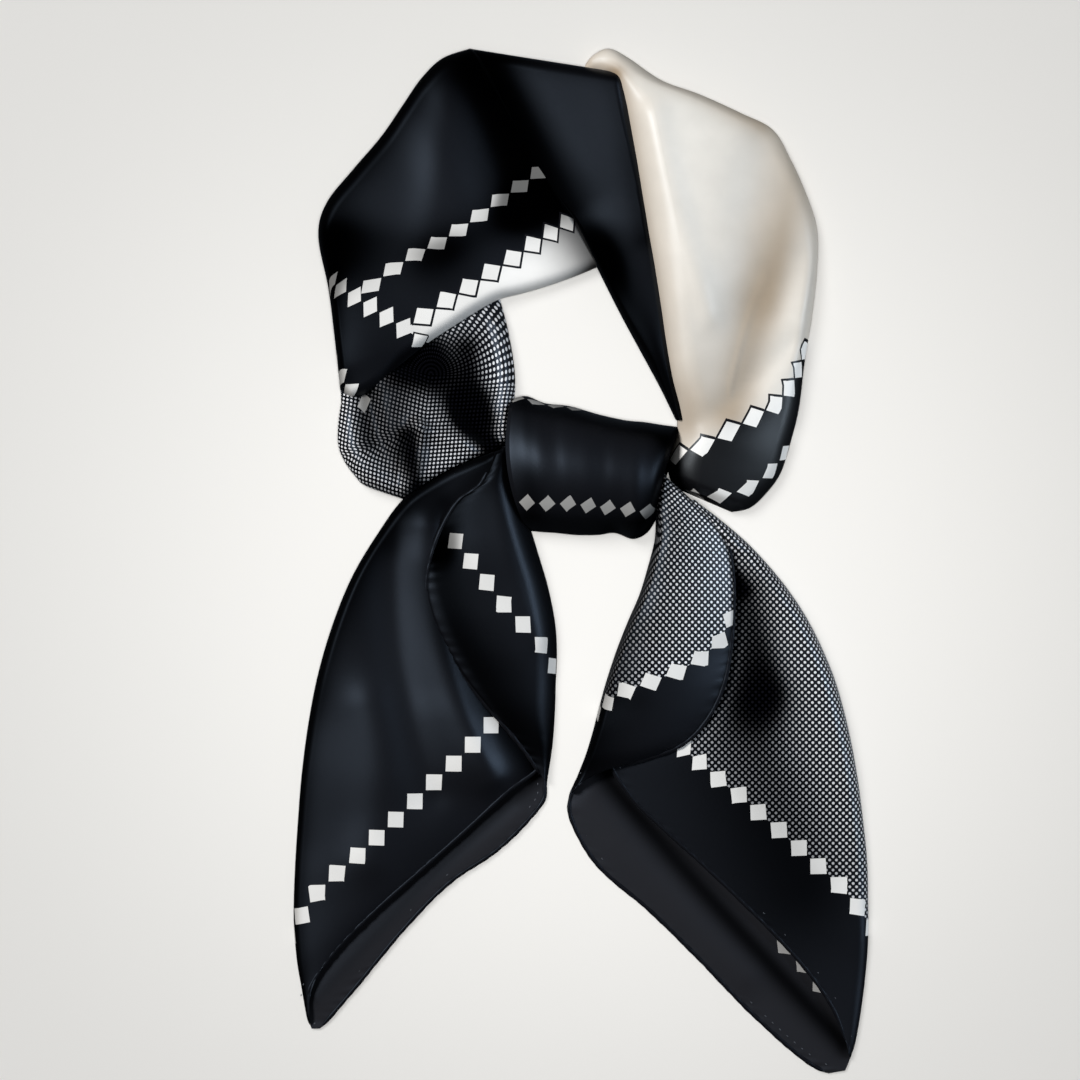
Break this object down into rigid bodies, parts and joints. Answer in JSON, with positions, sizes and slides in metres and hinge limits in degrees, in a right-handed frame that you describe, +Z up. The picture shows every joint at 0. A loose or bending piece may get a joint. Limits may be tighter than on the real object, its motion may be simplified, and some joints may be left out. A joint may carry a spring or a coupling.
{
  "type": "silk square scarf",
  "caption": "Square silk scarf folded on its diagonal, tied into a neck ring with a wrapped knot and pointed tails, laid down flat.",
  "frame": {"origin": "on the surface that the scarf lies on, under the middle of its box", "axes": "+Y from the tails towards the top of the neck ring, +X to the right seen from above, +Z up from the surface"},
  "size_m": [0.2472, 0.4416, 0.0291],
  "materials": {
    "navy_silk": "satin sheen",
    "cream_silk": "satin sheen",
    "dotted_silk": "satin sheen"
  },
  "bodies": {
    "root": {"loop_left": "navy_silk", "loop_left_lower": "dotted_silk", "loop_crossing": "navy_silk", "loop_right": "cream_silk", "loop_mouth": "cream_silk", "knot_band": "navy_silk", "tail_left_front": "navy_silk", "tail_left_flap": "navy_silk", "tail_left_back": "navy_silk", "tail_right_front": "dotted_silk", "tail_right_flap": "dotted_silk", "tail_right_back": "navy_silk"}
  },
  "joints": []
}
